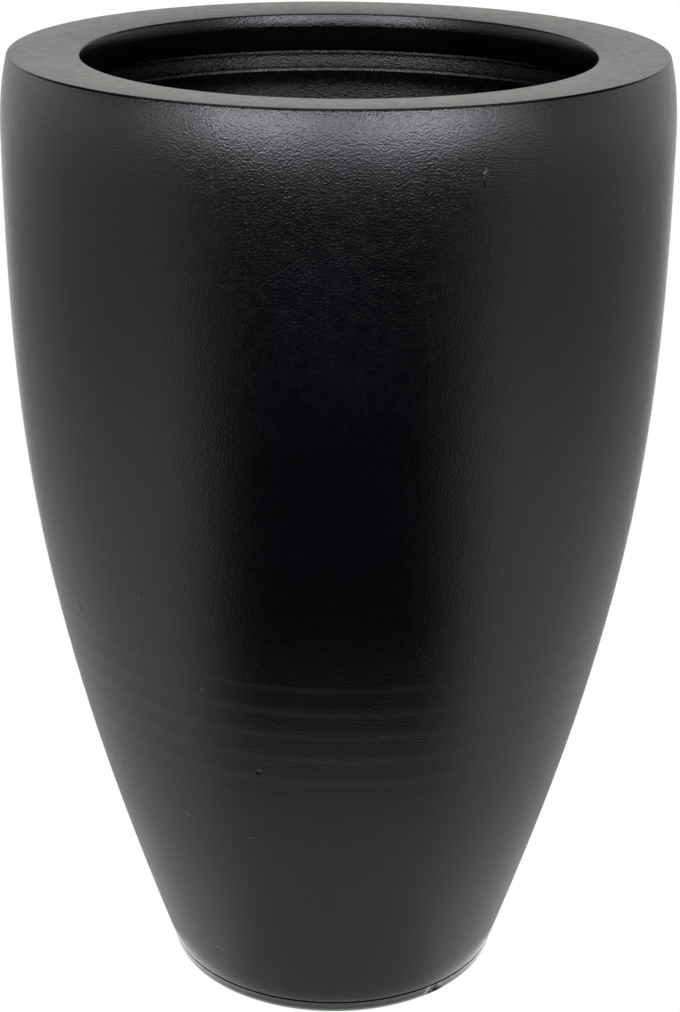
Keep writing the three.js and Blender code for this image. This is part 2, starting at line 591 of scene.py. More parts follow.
def new_geometry_tree(name: str, sizes: dict[str, float]) -> tuple[NodeSketch, bpy.types.Node]:
    """Starts a geometry tree with a geometry input, two finish inputs and named number inputs.

    Args:
        name: the tree's name.
        sizes: default value of each number input.

    Returns:
        The sketch and the group input node.
    """
    tree = bpy.data.node_groups.new(name, "GeometryNodeTree")
    tree.interface.new_socket("Geometry", in_out="INPUT", socket_type="NodeSocketGeometry")
    tree.interface.new_socket("Geometry", in_out="OUTPUT", socket_type="NodeSocketGeometry")
    for label in ("Outer Finish", "Inner Finish"):
        tree.interface.new_socket(label, in_out="INPUT", socket_type="NodeSocketMaterial")
    for label, value in sizes.items():
        socket = tree.interface.new_socket(label, in_out="INPUT", socket_type="NodeSocketFloat")
        socket.default_value = value
    sketch = NodeSketch(tree)
    return sketch, sketch.node("NodeGroupInput")


def grow(raw: Thing, tree: bpy.types.NodeTree, given: dict[str, object], name: str) -> Thing:
    """Runs a geometry tree on a raw piece and keeps the result as a plain mesh in the raw piece's stead.

    Args:
        raw: the raw piece, which is removed.
        tree: the geometry tree.
        given: value of each input, by name.
        name: name of the new piece.

    Returns:
        The new piece.
    """
    modifier = raw.modifiers.new(tree.name, "NODES")
    modifier.node_group = tree
    for socket in tree.interface.items_tree:
        if socket.in_out == "INPUT" and socket.name in given:
            modifier[socket.identifier] = given[socket.name]
    graph = bpy.context.evaluated_depsgraph_get()
    mesh = bpy.data.meshes.new_from_object(raw.evaluated_get(graph), depsgraph=graph)
    mesh.name = name
    bpy.data.objects.remove(raw)
    return add_object(name, mesh)


@dataclass(frozen=True)
class TurnedMarks:
    """One shallow mark that winds round the shell like a screw thread, strongest below the middle."""

    pitch: float = 17.2 * MM
    start: float = 4.2 * MM
    steep_share: float = 0.28
    mark_height: float = 0.13 * MM
    low: float = 196 * MM
    high: float = 268 * MM
    fade: float = 14 * MM
    faint_share: float = 0.1
    patch_scale: float = 7.0
    patch_share: float = 0.55
    unevenness: float = 0.35 * MM
    swell_scale: float = 5.0
    seam: float = 602 * MM
    seam_fade: float = 60 * MM
    slanted_facing: float = 0.3
    outward_facing: float = 0.6

    def sizes(self) -> dict[str, float]:
        """Returns the tree's number inputs, which are named after the fields."""
        return {label.replace("_", " ").title(): size for label, size in asdict(self).items()}

    def build(self) -> bpy.types.NodeTree:
        """Makes the tree, which only ever moves the outer wall inwards.

        Returns:
            The geometry tree.
        """
        sketch, group = new_geometry_tree("turned_marks", self.sizes())
        given = group.outputs
        place = sketch.node("GeometryNodeInputPosition").outputs[0]
        x, y, z = sketch.node("ShaderNodeSeparateXYZ", place).outputs
        turn = sketch.math("DIVIDE", sketch.math("ARCTAN2", y, x), 2 * math.pi)
        rise = sketch.math("DIVIDE", sketch.math("SUBTRACT", z, given["Start"]), given["Pitch"])
        phase = sketch.math("FRACT", sketch.math("ADD", rise, turn))
        climb = sketch.ramp(phase, 0.0, given["Steep Share"], 0.0, 1.0)
        drop = sketch.ramp(phase, given["Steep Share"], 1.0, 1.0, 0.0)
        mark = sketch.math("MINIMUM", climb, drop)
        below = sketch.math("SUBTRACT", given["Low"], given["Fade"])
        above = sketch.math("ADD", given["High"], given["Fade"])
        enter = sketch.ramp(z, below, given["Low"], given["Faint Share"], 1.0)
        leave = sketch.ramp(z, given["High"], above, 1.0, given["Faint Share"])
        patchy = sketch.blotches(place, given["Patch Scale"], (given["Patch Share"], 1.0), 1.0)
        clear = sketch.math("MULTIPLY", sketch.math("MINIMUM", enter, leave), patchy)
        strength = sketch.math("MULTIPLY", clear, given["Mark Height"])
        dip = sketch.math("MULTIPLY", sketch.math("SUBTRACT", 1.0, mark), strength)
        settling = sketch.math("SUBTRACT", given["Seam"], given["Seam Fade"])
        settled = sketch.ramp(z, settling, given["Seam"], 1.0, 0.0)
        swell = sketch.layer(place, given["Swell Scale"], given["Unevenness"], 1.0)
        swell = sketch.math("MULTIPLY", swell, settled)
        outwards = sketch.vector("NORMALIZE", sketch.node("ShaderNodeCombineXYZ", x, y, 0.0).outputs[0])
        facing = sketch.measure("DOT_PRODUCT", sketch.node("GeometryNodeInputNormal").outputs[0], outwards)
        outer = sketch.ramp(facing, given["Slanted Facing"], given["Outward Facing"], 0.0, 1.0)
        move = sketch.math("MULTIPLY", sketch.math("ADD", dip, swell), sketch.math("MULTIPLY", outer, -1.0))
        named = {"Geometry": given[0], "Offset": sketch.vector("SCALE", outwards, named={"Scale": move})}
        moved = sketch.node("GeometryNodeSetPosition", named=named)
        whole = sketch.node("GeometryNodeRealizeInstances", moved.outputs[0])
        named = {"Geometry": whole.outputs[0], "Material": given["Inner Finish"]}
        inside = sketch.node("GeometryNodeSetMaterial", named=named)
        named = {"Geometry": inside.outputs[0], "Selection": outer, "Material": given["Outer Finish"]}
        outside = sketch.node("GeometryNodeSetMaterial", named=named)
        sketch.node("NodeGroupOutput", outside.outputs[0])
        return sketch.tree


# ---- Sub-assemblies ----


@dataclass
class Piece:
    """A finished piece of the planter with what it stands for."""

    thing: Thing
    body: Body
    slot: Slot
    node: str

    def join_frame(self) -> None:
        """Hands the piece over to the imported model's frame."""
        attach(self.thing, self.body.value)
        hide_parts(self.node)
        log.info("%s: %d faces", self.thing.name, len(self.thing.data.polygons))


class TurnedPart:
    """A part of the planter that is turned from one outline and has one finish."""

    node: str
    slot: Slot
    body: ClassVar[Body] = Body.PLANTER
    segments: ClassVar[int] = 192
    sharp: ClassVar[float] = 32.0

    def outline(self) -> Outline:
        """Returns the points of the part's outline."""
        raise NotImplementedError

    def work(self, turned: Thing) -> None:
        """Leaves the turned mesh as it is, unless the part does more to it."""

    def build(self, finish: Material) -> Piece:
        """Makes the part.

        Args:
            finish: its finish.

        Returns:
            The part as a piece.
        """
        turned = revolve(f"{self.node}_skin", self.outline(), self.segments, self.sharp)
        self.work(turned)
        turned.data.materials.append(finish)
        return Piece(turned, self.body, self.slot, self.node)


@dataclass
class Shell:
    """Bowed outer shell, 8 mm thick, with its turned marks."""

    wall: WallLine
    low: float
    high: float
    thickness: float = 8 * MM
    segments: int = 256
    fine_step: float = 1.05 * MM
    coarse_step: float = 3.6 * MM
    inner_step: float = 9 * MM
    seam_cut: float = 0.45 * MM
    marks: TurnedMarks = TurnedMarks()

    def outline(self) -> Outline:
        """Draws the shell, close-set where the turned marks are, with a cut lower edge.

        Returns:
            The points, up the outside and down the inside.
        """
        fine_low = self.marks.low - self.marks.fade
        fine_high = self.marks.high + self.marks.fade
        outer = self.wall.run(self.low + self.seam_cut, fine_low, 0.0, self.coarse_step)
        outer += self.wall.run(fine_low, fine_high, 0.0, self.fine_step)[1:]
        outer += self.wall.run(fine_high, self.high, 0.0, self.coarse_step)[1:]
        inner = self.wall.run(self.high, self.low, self.thickness, self.inner_step)
        return [*outer, *inner, (self.wall.radius(self.low) - self.seam_cut, self.low)]

    def build(self, coat: Material, laminate: Material) -> Piece:
        """Makes the shell.

        Args:
            coat: finish of the outside.
            laminate: finish of the inside.

        Returns:
            The shell as a piece.
        """
        raw = revolve("raw_shell", self.outline(), self.segments)
        given = {"Outer Finish": coat, "Inner Finish": laminate, **self.marks.sizes()}
        shell = grow(raw, self.marks.build(), given, "body_shell_skin")
        return Piece(shell, Body.PLANTER, Slot.SHELL, "body_shell")


@dataclass(frozen=True)
class Ridge:
    """A turned swelling inside the lip's skirt, placed by how far its crest lies below the rim."""

    drop: float
    height: float
    above: float
    below: float

    def swell(self, drop: float) -> float:
        """Returns how far the skirt stands in at a drop below the rim."""
        spread = self.above if drop < self.drop else self.below
        return self.height * math.exp(-(((drop - self.drop) / spread) ** 2))


@dataclass
class Lip:
    """Thick lip: cap, flat falling top, bead, turned-down face, cove with turned ridges, and skirt."""

    wall: WallLine
    rim_z: float
    cap: float = 8 * MM
    cap_step: float = 1.2 * MM
    fall: float = 2.2 * MM
    width: float = 43.6 * MM
    drop: float = 25 * MM
    edge_round: float = 1.6 * MM
    edge_start: float = 15.0
    edge_steps: int = 10
    coat_steps: int = 7
    bead_round: float = 1.1 * MM
    bead_slope: Span = (12.5, -1.0)
    bead_fall: float = 8.0 * MM
    bead_steps: int = 10
    bead_turn_steps: int = 7
    under_round: float = 1.2 * MM
    cove_height: float = 7 * MM
    cove_start: float = 84.0
    cove_steps: int = 40
    pocket_height: float = 14 * MM
    pocket_slope: Span = (20 * MM, 10 * MM)
    skirt_depth: float = 14.3 * MM
    skirt_length: float = 38 * MM
    skirt_step: float = 0.7 * MM
    lap_depth: float = 8.3 * MM
    lap_step: float = 12 * MM
    plate: float = 5 * MM
    ridges: tuple[Ridge, ...] = (
        Ridge(33.2 * MM, 0.2 * MM, 0.8 * MM, 0.8 * MM),
        Ridge(45.2 * MM, 1.3 * MM, 11 * MM, 6.0 * MM),
        Ridge(44.0 * MM, -0.15 * MM, 0.7 * MM, 0.7 * MM),
        Ridge(45.4 * MM, 0.35 * MM, 0.9 * MM, 0.8 * MM),
        Ridge(69.0 * MM, 0.75 * MM, 9 * MM, 6 * MM),
    )
    segments: int = 288

    @property
    def mouth_radius(self) -> float:
        """Radius of the clear opening."""
        return self.wall.line(self.rim_z) - self.width

    @property
    def skirt_z(self) -> float:
        """Height at which the cove ends and the skirt starts."""
        return self.rim_z - self.drop - self.cove_height

    def edge(self) -> Outline:
        """Rounds the outer edge, which takes over from the wall where it starts.

        Returns:
            The points, from the wall to the flat top.
        """
        start = math.radians(self.edge_start)
        z = self.rim_z - self.edge_round
        meets = self.wall.radius(z + self.edge_round * math.sin(start))
        centre = (meets - self.edge_round * math.cos(start), z)
        return arc(centre, self.edge_round, self.edge_start, 90, self.edge_steps)

    def bead(self) -> Outline:
        """Draws the edge at the mouth: a tight turn down from the top, then a face that steepens as it falls.

        Returns:
            The points, from the flat top down to the turned-down face.
        """
        rise = self.bead_fall / self.bead_steps
        face: Outline = [(self.mouth_radius, self.rim_z - self.fall - self.bead_round - self.bead_fall)]
        for step in range(self.bead_steps):
            radius, z = face[-1]
            share = (step + 0.5) / self.bead_steps
            slope = self.bead_slope[1] + (self.bead_slope[0] - self.bead_slope[1]) * share
            face.append((radius + rise * math.tan(math.radians(slope)), z + rise))
        tilt = math.radians(self.bead_slope[0])
        radius, z = face[-1]
        centre = (radius + self.bead_round * math.cos(tilt), z - self.bead_round * math.sin(tilt))
        lift = self.rim_z - self.fall - (centre[1] + self.bead_round)
        centre = (centre[0], centre[1] + lift)
        turned = arc(centre, self.bead_round, 90, 180 - self.bead_slope[0], self.bead_turn_steps)
        return [*turned, *[(radius, z + lift) for radius, z in reversed(face)]]

    def cove(self) -> Outline:
        """Draws the cove under the lip and the skirt below it, with its turned ridges.

        Returns:
            The points, from the top of the cove down.
        """
        end_z = self.skirt_z - self.skirt_length
        reach = self.wall.radius(self.skirt_z, self.skirt_depth) - self.mouth_radius
        centre = (self.mouth_radius, self.skirt_z)
        points = arc(centre, reach, self.cove_start, 0, self.cove_steps, self.cove_height)
        points += self.wall.run(self.skirt_z, end_z, self.skirt_depth, self.skirt_step)[1:]
        swells = [sum(ridge.swell(self.rim_z - z) for ridge in self.ridges) for _, z in points]
        return [(radius - swell, z) for (radius, z), swell in zip(points, swells)]

    def hollow(self) -> Outline:
        """Draws the hidden back, from the skirt's lower end up round the hollow to the cap's lower edge.

        Returns:
            The points.
        """
        cap_z = self.rim_z - self.cap
        pocket_radius = self.mouth_radius + self.plate
        pocket_z = self.rim_z - self.drop - self.pocket_height + self.plate
        return [
            *self.wall.run(self.skirt_z - self.skirt_length, pocket_z, self.lap_depth, self.lap_step),
            (pocket_radius + self.pocket_slope[0], pocket_z + self.pocket_slope[1]),
            (pocket_radius, self.rim_z - self.drop + self.plate),
            (pocket_radius, cap_z),
            (self.wall.radius(cap_z, self.lap_depth), cap_z),
        ]

    def stretches(self) -> list[tuple[LipFace, Outline]]:
        """Draws the whole lip, from the cap's lower edge over the top, the mouth and the cove.

        Returns:
            The stretches in order, each with the face that it belongs to.
        """
        edge, bead = self.edge(), self.bead()
        under = (self.mouth_radius + self.under_round, self.rim_z - self.drop + self.under_round)
        cap = self.wall.run(self.rim_z - self.cap, self.rim_z - self.edge_round, 0.0, self.cap_step)
        return [
            (LipFace.OUTSIDE, cap + edge[: self.coat_steps]),
            (LipFace.TOP, edge[self.coat_steps :] + bead[:1]),
            (LipFace.OUTSIDE, bead[1:-2]),
            (LipFace.MOUTH, bead[-2:] + arc(under, self.under_round, 180, 240, 3)),
            (LipFace.COVE, self.cove()),
            (LipFace.BACK, self.hollow()),
        ]

    def build(self, finishes: dict[LipFace, Material]) -> Piece:
        """Makes the lip.

        Args:
            finishes: the finish of each face.

        Returns:
            The lip as a piece.
        """
        outline: Outline = []
        faces: list[LipFace] = []
        for face, points in self.stretches():
            outline += points
            faces += [face] * len(points)
        ring = revolve("lip_ring_skin", outline, self.segments)
        for face in LipFace:
            ring.data.materials.append(finishes[face])
        for polygon in ring.data.polygons:
            polygon.material_index = faces[polygon.index // self.segments].value
        return Piece(ring, Body.PLANTER, Slot.LIP, "lip_ring")


@dataclass
class Core(TurnedPart):
    """Rigid foam former inside the lip, kept a hair clear of the laminate all round."""

    lip: Lip
    gap: float = 0.4 * MM
    step: float = 6 * MM
    node: ClassVar[str] = "lip_core"
    slot: ClassVar[Slot] = Slot.FOAM

    def outline(self) -> Outline:
        """Draws the former.

        Returns:
            The points, down the inside and up along the wall.
        """
        lip, gap = self.lip, self.gap
        top_z = lip.rim_z - lip.cap - gap
        inner = lip.mouth_radius + lip.plate + gap
        foot_z = lip.rim_z - lip.drop - lip.pocket_height + lip.plate + gap
        return [
            (inner, top_z),
            (inner, lip.rim_z - lip.drop + lip.plate + gap),
            (inner + lip.pocket_slope[0], foot_z + lip.pocket_slope[1]),
            *lip.wall.run(foot_z, top_z, lip.lap_depth + gap, self.step),
        ]


@dataclass
class Base(TurnedPart):
    """Base pan with a rounded foot, a seam under the shell, a chipped edge, a recess and a drain hole."""

    wall: WallLine
    band: float = 10.5 * MM
    foot_round: float = 6 * MM
    foot_steps: int = 14
    recess: float = 5 * MM
    floor: float = 8 * MM
    floor_steps: int = 8
    ring_width: float = 24 * MM
    ring_ease: float = 1.5 * MM
    ring_corner: Span = (0.5 * MM, 0.4 * MM)
    collar: float = 30.5 * MM
    lap_depth: float = 8.3 * MM
    lap_step: float = 6 * MM
    collar_depth: float = 14.3 * MM
    collar_step: float = 4 * MM
    drain_radius: float = 15 * MM
    drain_taper: float = 2 * MM
    drain_ease: float = 1 * MM
    seam_cut: float = 0.9 * MM
    seam_depth: float = 1.8 * MM
    inside_round: float = 3 * MM
    chip_azimuth: float = 38.5
    chip_z: float = 4.4 * MM
    chip_width: float = 15 * MM
    chip_tall: float = 5.5 * MM
    chip_depth: float = 2.4 * MM
    chip_ragged: float = 0.25
    chip_tooth: float = 1.1 * MM
    node: ClassVar[str] = "base_pan"
    slot: ClassVar[Slot] = Slot.BASE
    segments: ClassVar[int] = 384
    sharp: ClassVar[float] = 38.0

    def outline(self) -> Outline:
        """Draws the pan.

        Returns:
            The points, from the drain hole under the foot and up over the collar.
        """
        wall, drain, recess = self.wall, self.drain_radius, self.recess
        round_radius = wall.radius(self.foot_round) - self.foot_round
        ring_inner = round_radius + self.foot_round - self.ring_width
        floor_z = recess + self.floor
        end_z = self.band + self.collar
        collar_foot = wall.radius(floor_z, self.collar_depth)
        inside = (collar_foot - self.inside_round, floor_z + self.inside_round)
        shares = [step / self.floor_steps for step in range(1, self.floor_steps)]
        return [
            (drain, recess),
            *[(drain + (ring_inner - drain) * share, recess) for share in shares],
            (ring_inner - self.ring_ease, recess),
            (ring_inner, recess - self.ring_ease),
            (ring_inner + self.ring_corner[0], self.ring_corner[1]),
            (ring_inner + self.ring_ease, 0.0),
            *arc((round_radius, self.foot_round), self.foot_round, -90, 0, self.foot_steps),
            (wall.radius(self.band - self.seam_cut), self.band - self.seam_cut),
            (wall.radius(self.band) - self.seam_depth, self.band),
            *wall.run(self.band, end_z, self.lap_depth, self.lap_step),
            *wall.run(end_z, inside[1], self.collar_depth, self.collar_step),
            *arc(inside, self.inside_round, 0, -90, 5)[1:],
            *[(collar_foot + (drain - collar_foot) * share, floor_z) for share in shares],
            (drain + self.drain_taper + self.drain_ease, floor_z),
            (drain + self.drain_taper, floor_z - self.drain_ease),
        ]

    def work(self, turned: Thing) -> None:
        """Knocks a shallow ragged chip out of the foot's rounded edge.

        Args:
            turned: the turned pan.
        """
        turn = math.radians(self.chip_azimuth)
        for vertex in turned.data.vertices:
            radius = math.hypot(vertex.co.x, vertex.co.y)
            if radius < self.wall.line(0) - self.foot_round:
                continue
            across = radius * (math.atan2(vertex.co.x, -vertex.co.y) - turn)
            away = math.hypot(2 * across / self.chip_width, 2 * (vertex.co.z - self.chip_z) / self.chip_tall)
            ragged = 1 + self.chip_ragged * math.sin(across / self.chip_tooth)
            depth = self.chip_depth * max(0.0, 1 - away**2) * ragged
            vertex.co.xy *= (radius - depth) / radius


@dataclass
class Fillet(TurnedPart):
    """Resin fillet over the end of a lap joint, smoothed by hand: thick at its start and thin at its end."""

    wall: WallLine
    node: str
    start_z: float
    end_z: float
    lap_depth: float = 8.3 * MM
    lap_thickness: float = 6 * MM
    steps: int = 10
    unevenness: float = 0.5 * MM
    lobes: tuple[int, ...] = (3, 7, 11)
    lobe_rise: float = 9 * MM
    slot: ClassVar[Slot] = Slot.RESIN

    def outline(self) -> Outline:
        """Draws the fillet.

        Returns:
            The points, along its face and back to its thick end.
        """
        outline: Outline = []
        for step in range(self.steps + 1):
            share = step / self.steps
            z = self.start_z + (self.end_z - self.start_z) * share
            outline.append((self.wall.radius(z, self.lap_depth + self.lap_thickness * (1 - share) ** 2), z))
        return [*outline, (self.wall.radius(self.start_z, self.lap_depth), self.start_z)]

    def work(self, turned: Thing) -> None:
        """Moves points inwards by up to the unevenness, in waves that wind round the axis.

        Args:
            turned: the turned fillet.
        """
        for vertex in turned.data.vertices:
            angle = math.atan2(vertex.co.y, vertex.co.x)
            waves = [math.sin(count * angle + vertex.co.z / self.lobe_rise + count) for count in self.lobes]
            share = 0.5 + 0.5 * sum(waves) / len(self.lobes)
            radius = math.hypot(vertex.co.x, vertex.co.y)
            vertex.co.xy *= (radius - self.unevenness * share) / radius


@dataclass
class Plug(TurnedPart):
    """Moulded rubber plug, a body of its own: tapered bung, flat head, and a waisted knob."""

    floor_z: float
    foot_z: float
    gap: float = 0.3 * MM
    drain_radius: float = 15 * MM
    drain_taper: float = 2 * MM
    dimple: float = 1 * MM
    dimple_shares: Span = (0.55, 0.6)
    bung_ease: float = 0.6 * MM
    head_radius: float = 24 * MM
    head: float = 4 * MM
    head_ease: float = 0.4 * MM
    head_round: float = 1.5 * MM
    knob_radius: float = 8 * MM
    knob: float = 12 * MM
    knob_root: float = 2 * MM
    knob_round: float = 3 * MM
    waist: float = 1.6 * MM
    waist_drops: tuple[float, float, float] = (5.5 * MM, 4.5 * MM, 3.6 * MM)
    node: ClassVar[str] = "drain_plug"
    slot: ClassVar[Slot] = Slot.RUBBER
    body: ClassVar[Body] = Body.PLUG
    segments: ClassVar[int] = 96

    def outline(self) -> Outline:
        """Draws the plug.

        Returns:
            The points, from the axis under the bung to the axis on the knob.
        """
        head_z = self.floor_z + self.gap
        grip_z = head_z + self.head
        top_z = grip_z + self.knob
        bung = self.drain_radius - self.gap
        rim = (self.head_radius - self.head_round, grip_z - self.head_round)
        crown = (self.knob_radius - self.knob_round, top_z - self.knob_round)
        root = (self.knob_radius - self.waist + self.knob_root, grip_z + self.knob_root)
        return [
            (0.0, self.foot_z + self.dimple),
            (bung * self.dimple_shares[0], self.foot_z + self.dimple),
            (bung * self.dimple_shares[1], self.foot_z),
            (bung - self.bung_ease, self.foot_z),
            (bung, self.foot_z + self.bung_ease),
            (bung + self.drain_taper, head_z),
            (self.head_radius - self.head_ease, head_z),
            (self.head_radius, head_z + self.head_ease),
            *arc(rim, self.head_round, 0, 90, 5),
            *arc(root, self.knob_root, -90, -180, 4),
            (self.knob_radius - self.waist, top_z - self.waist_drops[0]),
            (self.knob_radius - 0.5 * self.waist, top_z - self.waist_drops[1]),
            (self.knob_radius, top_z - self.waist_drops[2]),
            *arc(crown, self.knob_round, 0, 90, 6),
            (0.0, top_z),
        ]


# ---- Studio ----


@dataclass(frozen=True)
class Softbox:
    """A soft lamp aimed at the planter. Azimuth 0 is the camera's side, and it grows to the right."""

    name: str
    azimuth: float
    elevation: float
    width: float
    tall: float
    radiance: float
    distance: float = 1.7
    colour: tuple[float, float, float] = (0.93, 0.945, 1.0)

    def build(self, target: Vector) -> None:
        """Adds the lamp.

        Args:
            target: the point it is aimed at.
        """
        turn, rise = math.radians(self.azimuth), math.radians(self.elevation)
        away = Vector((math.sin(turn) * math.cos(rise), -math.cos(turn) * math.cos(rise), math.sin(rise)))
        lamp = bpy.data.lights.new(self.name, "AREA")
        lamp.shape = "RECTANGLE"
        lamp.size = self.width
        lamp.size_y = self.tall
        lamp.energy = self.radiance * math.pi * self.width * self.tall
        lamp.color = self.colour
        holder = add_object(self.name, lamp)
        holder.location = target + away * self.distance
        holder.rotation_euler = (-away).to_track_quat("-Z", "Y").to_euler()
        holder.visible_camera = False


def window(sketch: NodeSketch, value: Socket, ends: Span, soft: float) -> Socket:
    """Cuts out a stretch of a value.

    Args:
        sketch: the tree.
        value: what is tested.
        ends: the lower and upper end.
        soft: half the width of the soft step at each.

    Returns:
        1 between the ends, and 0 beyond them.
    """
    enter = sketch.ramp(value, ends[0] - soft, ends[0] + soft, 0.0, 1.0)
    leave = sketch.ramp(value, ends[1] - soft, ends[1] + soft, 1.0, 0.0)
    return sketch.math("MULTIPLY", enter, leave)


def azimuth_of(sketch: NodeSketch, x: Socket, y: Socket) -> Socket:
    """Returns the azimuth in degrees of a direction or place, from the camera's side round to the right."""
    return sketch.math("DEGREES", sketch.math("ARCTAN2", x, sketch.math("MULTIPLY", y, -1.0)))


@dataclass(frozen=True)
class Zone:
    """A stretch of the sky that glows. Azimuth 0 is the camera's side, and it grows to the right.

    A zone with both_sides counts its azimuth from the camera's side either way. Its reach is an elevation in
    degrees.
    """

    level: float
    azimuth: Span
    reach: Span
    both_sides: bool = True
    azimuth_soft: float = 12.0
    reach_soft: float = 8.0


@dataclass(frozen=True)
class FloorZone(Zone):
    """A stretch of the floor that glows to reflections only: a painted reflection, which lights nothing. Its
    reach is a distance from the planter's axis in metres.
    """

    azimuth_soft: float = 10.0
    reach_soft: float = 0.06


def glow_of(sketch: NodeSketch, zones: tuple[Zone, ...], azimuth: Socket, reach: Socket) -> Socket:
    """Adds up the glow of zones.

    Args:
        sketch: the tree.
        zones: the zones.
        azimuth: azimuth of the direction or place.
        reach: its elevation, or its distance from the planter's axis.

    Returns:
        The sum of the levels of the zones that it lies in.
    """
    total = None
    for zone in zones:
        turn = sketch.math("ABSOLUTE", azimuth) if zone.both_sides else azimuth
        across = window(sketch, turn, zone.azimuth, zone.azimuth_soft)
        along = window(sketch, reach, zone.reach, zone.reach_soft)
        glow = sketch.math("MULTIPLY", sketch.math("MULTIPLY", across, along), zone.level)
        total = sketch.math("ADD", total, glow) if total else glow
    return total


@dataclass
class Studio:
    """White sweep with painted shade in front and painted glow round the planter, which the camera doesn't
    see, a softly glowing room, and soft lamps to the left and right.

    A zone's end at -20 or -1 lies below all that is tested, and one at 99 or 400 lies above it.
    """

    height: float
    aim_share: float = 0.6
    floor_half: float = 30.0
    floor_white: float = 0.85
    # Painted shade: the floor's tone in front of the planter for every ray but the camera's, over the
    # azimuths and distances below.
    floor_painted_shade: float = 0.01
    painted_shade_azimuth: Span = (28.0, 62.0)
    painted_shade_reach: Span = (0.10, 0.50)
    backdrop_share: float = 0.99
    white: Colour = (1.0, 1.0, 1.0, 1.0)
    warm: Colour = (1.0, 0.982, 0.948, 1.0)
    sky: tuple[Zone, ...] = (
        Zone(0.72, (140, 400), (-5, 20)),
        Zone(0.97, (-140, -60), (-5, 14), both_sides=False),
        Zone(0.88, (60, 140), (-5, 14), both_sides=False),
        Zone(0.75, (-20, 400), (55, 99)),
    )
    ground: tuple[FloorZone, ...] = (
        # Painted reflections: the first zone paints the floor right round the foot bright, where the
        # planter's own shadow falls.
        FloorZone(1.6, (-20, 400), (-1, 0.1135), reach_soft=0.003),
        FloorZone(0.02, (-20, 40), (-1, 0.2)),
        FloorZone(0.22, (40, 400), (-1, 0.2)),
        FloorZone(0.14, (-20, 40), (0.2, 0.36)),
        FloorZone(0.09, (-170, -42), (0.2, 3), both_sides=False),
        FloorZone(0.05, (42, 170), (0.2, 3), both_sides=False),
        FloorZone(0.40, (42, 400), (3, 400)),
        FloorZone(0.60, (150, 400), (0.2, 3)),
    )
    lamps: tuple[Softbox, ...] = (
        Softbox("softbox_left", -26, 20, 0.95, 0.38, 9.8),
        Softbox("softbox_right", 26, 20, 0.95, 0.38, 9.8),
        Softbox("softbox_middle", 0, 20, 0.5, 0.38, 6.3),
        Softbox("softbox_low", 0, 8, 2.2, 0.36, 0.9),
        Softbox("fill_left", -52, 19, 0.5, 0.5, 2.4),
        Softbox("fill_right", 52, 19, 0.5, 0.5, 2.4),
    )

    def build_floor(self) -> None:
        """Adds the floor, which the camera sees as a white sweep with a trace of the planter's shadow; other
        rays see painted shade in front of it and painted glow.
        """
        material, sketch, place = new_material("white_sweep")
        x, y, _ = sketch.node("ShaderNodeSeparateXYZ", place).outputs
        azimuth = azimuth_of(sketch, x, y)
        away = sketch.measure("LENGTH", place)
        seen = sketch.node("ShaderNodeLightPath").outputs
        # Painted shade: all rays but the camera's see the floor in front near black, standing in for the dark
        # room on the camera's side in the planter's reflections and bounced light.
        front = sketch.ramp(sketch.math("ABSOLUTE", azimuth), *self.painted_shade_azimuth, 1.0, 0.0)
        dark = sketch.math("MULTIPLY", front, sketch.ramp(away, *self.painted_shade_reach, 0.0, 1.0))
        unseen = sketch.math("SUBTRACT", 1.0, seen["Is Camera Ray"])
        shade = sketch.math("MULTIPLY", dark, unseen)
        tone = sketch.node("ShaderNodeMapRange", shade, 0.0, 1.0, self.floor_white, self.floor_painted_shade)
        paint = sketch.node("ShaderNodeBsdfDiffuse", tone.outputs[0])
        # Painted reflection: the zones glow only to glossy and transmission rays, so they light nothing and
        # show only in the planter's reflections.
        mirrored = sketch.math("MAXIMUM", seen["Is Glossy Ray"], seen["Is Transmission Ray"])
        level = sketch.math("MULTIPLY", glow_of(sketch, self.ground, azimuth, away), mirrored)
        glow = sketch.node("ShaderNodeEmission", self.warm, level)
        lit = sketch.node("ShaderNodeAddShader", paint.outputs[0], glow.outputs[0])
        sweep = sketch.node("ShaderNodeEmission", self.white, 1.0)
        share = sketch.math("MULTIPLY", seen["Is Camera Ray"], self.backdrop_share)
        mix = sketch.node("ShaderNodeMixShader", share, lit.outputs[0], sweep.outputs[0])
        sketch.node("ShaderNodeOutputMaterial", mix.outputs[0])
        side = self.floor_half
        corners = [(-side, -side, 0), (side, -side, 0), (side, side, 0), (-side, side, 0)]
        mesh = bpy.data.meshes.new("studio_floor")
        mesh.from_pydata(corners, [], [(0, 1, 2, 3)])
        mesh.materials.append(material)
        add_object("studio_floor", mesh)

    def build_world(self) -> None:
        """Sets the surroundings: white to the camera, and zones of soft light to the planter."""
        world = bpy.data.worlds.new("studio")
        bpy.context.scene.world = world
        world.use_nodes = True
        sketch = NodeSketch(world.node_tree)
        way = sketch.node("ShaderNodeTexCoord").outputs["Generated"]
        x, y, z = sketch.node("ShaderNodeSeparateXYZ", way).outputs
        elevation = sketch.math("DEGREES", sketch.math("ARCSINE", z))
        level = glow_of(sketch, self.sky, azimuth_of(sketch, x, y), elevation)
        around = sketch.node("ShaderNodeBackground", self.warm, level)
        backdrop = sketch.node("ShaderNodeBackground", self.white, 1.0)
        seen = sketch.node("ShaderNodeLightPath").outputs["Is Camera Ray"]
        mix = sketch.node("ShaderNodeMixShader", seen, around.outputs[0], backdrop.outputs[0])
        sketch.node("ShaderNodeOutputWorld", mix.outputs[0])

    def build(self) -> None:
        """Sets up the floor, surroundings and lamps."""
        self.build_floor()
        self.build_world()
        for lamp in self.lamps:
            lamp.build(Vector((0.0, 0.0, self.aim_share * self.height)))


